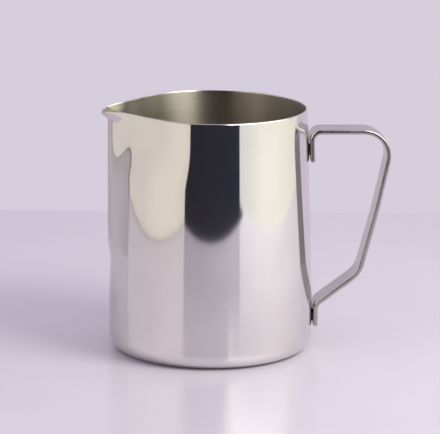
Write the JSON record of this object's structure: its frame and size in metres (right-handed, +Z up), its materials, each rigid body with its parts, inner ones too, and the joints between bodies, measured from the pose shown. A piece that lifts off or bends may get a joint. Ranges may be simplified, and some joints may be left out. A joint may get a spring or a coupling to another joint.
{
  "type": "milk frothing pitcher",
  "caption": "Stainless milk frothing pitcher: tapered drawn shell with a pressed pouring spout and a bent flat strap handle welded to the wall.",
  "frame": {"origin": "middle of the flat base, on the surface that the pitcher stands on", "axes": "+Z up, +X towards the handle, -X towards the spout, the XZ plane is the plane of symmetry"},
  "size_m": [0.1266, 0.09, 0.1072],
  "materials": {
    "shell_steel": "mirror polished outside, fine satin brushing inside",
    "strap_steel": "soft polish with rounded edges",
    "weld_steel": "fused steel, dull"
  },
  "bodies": {
    "root": {"pitcher_body": "shell_steel", "handle_strap": "strap_steel", "weld_nugget_upper_left": "weld_steel", "weld_nugget_upper_right": "weld_steel", "weld_nugget_lower_left": "weld_steel", "weld_nugget_lower_right": "weld_steel"}
  },
  "joints": []
}
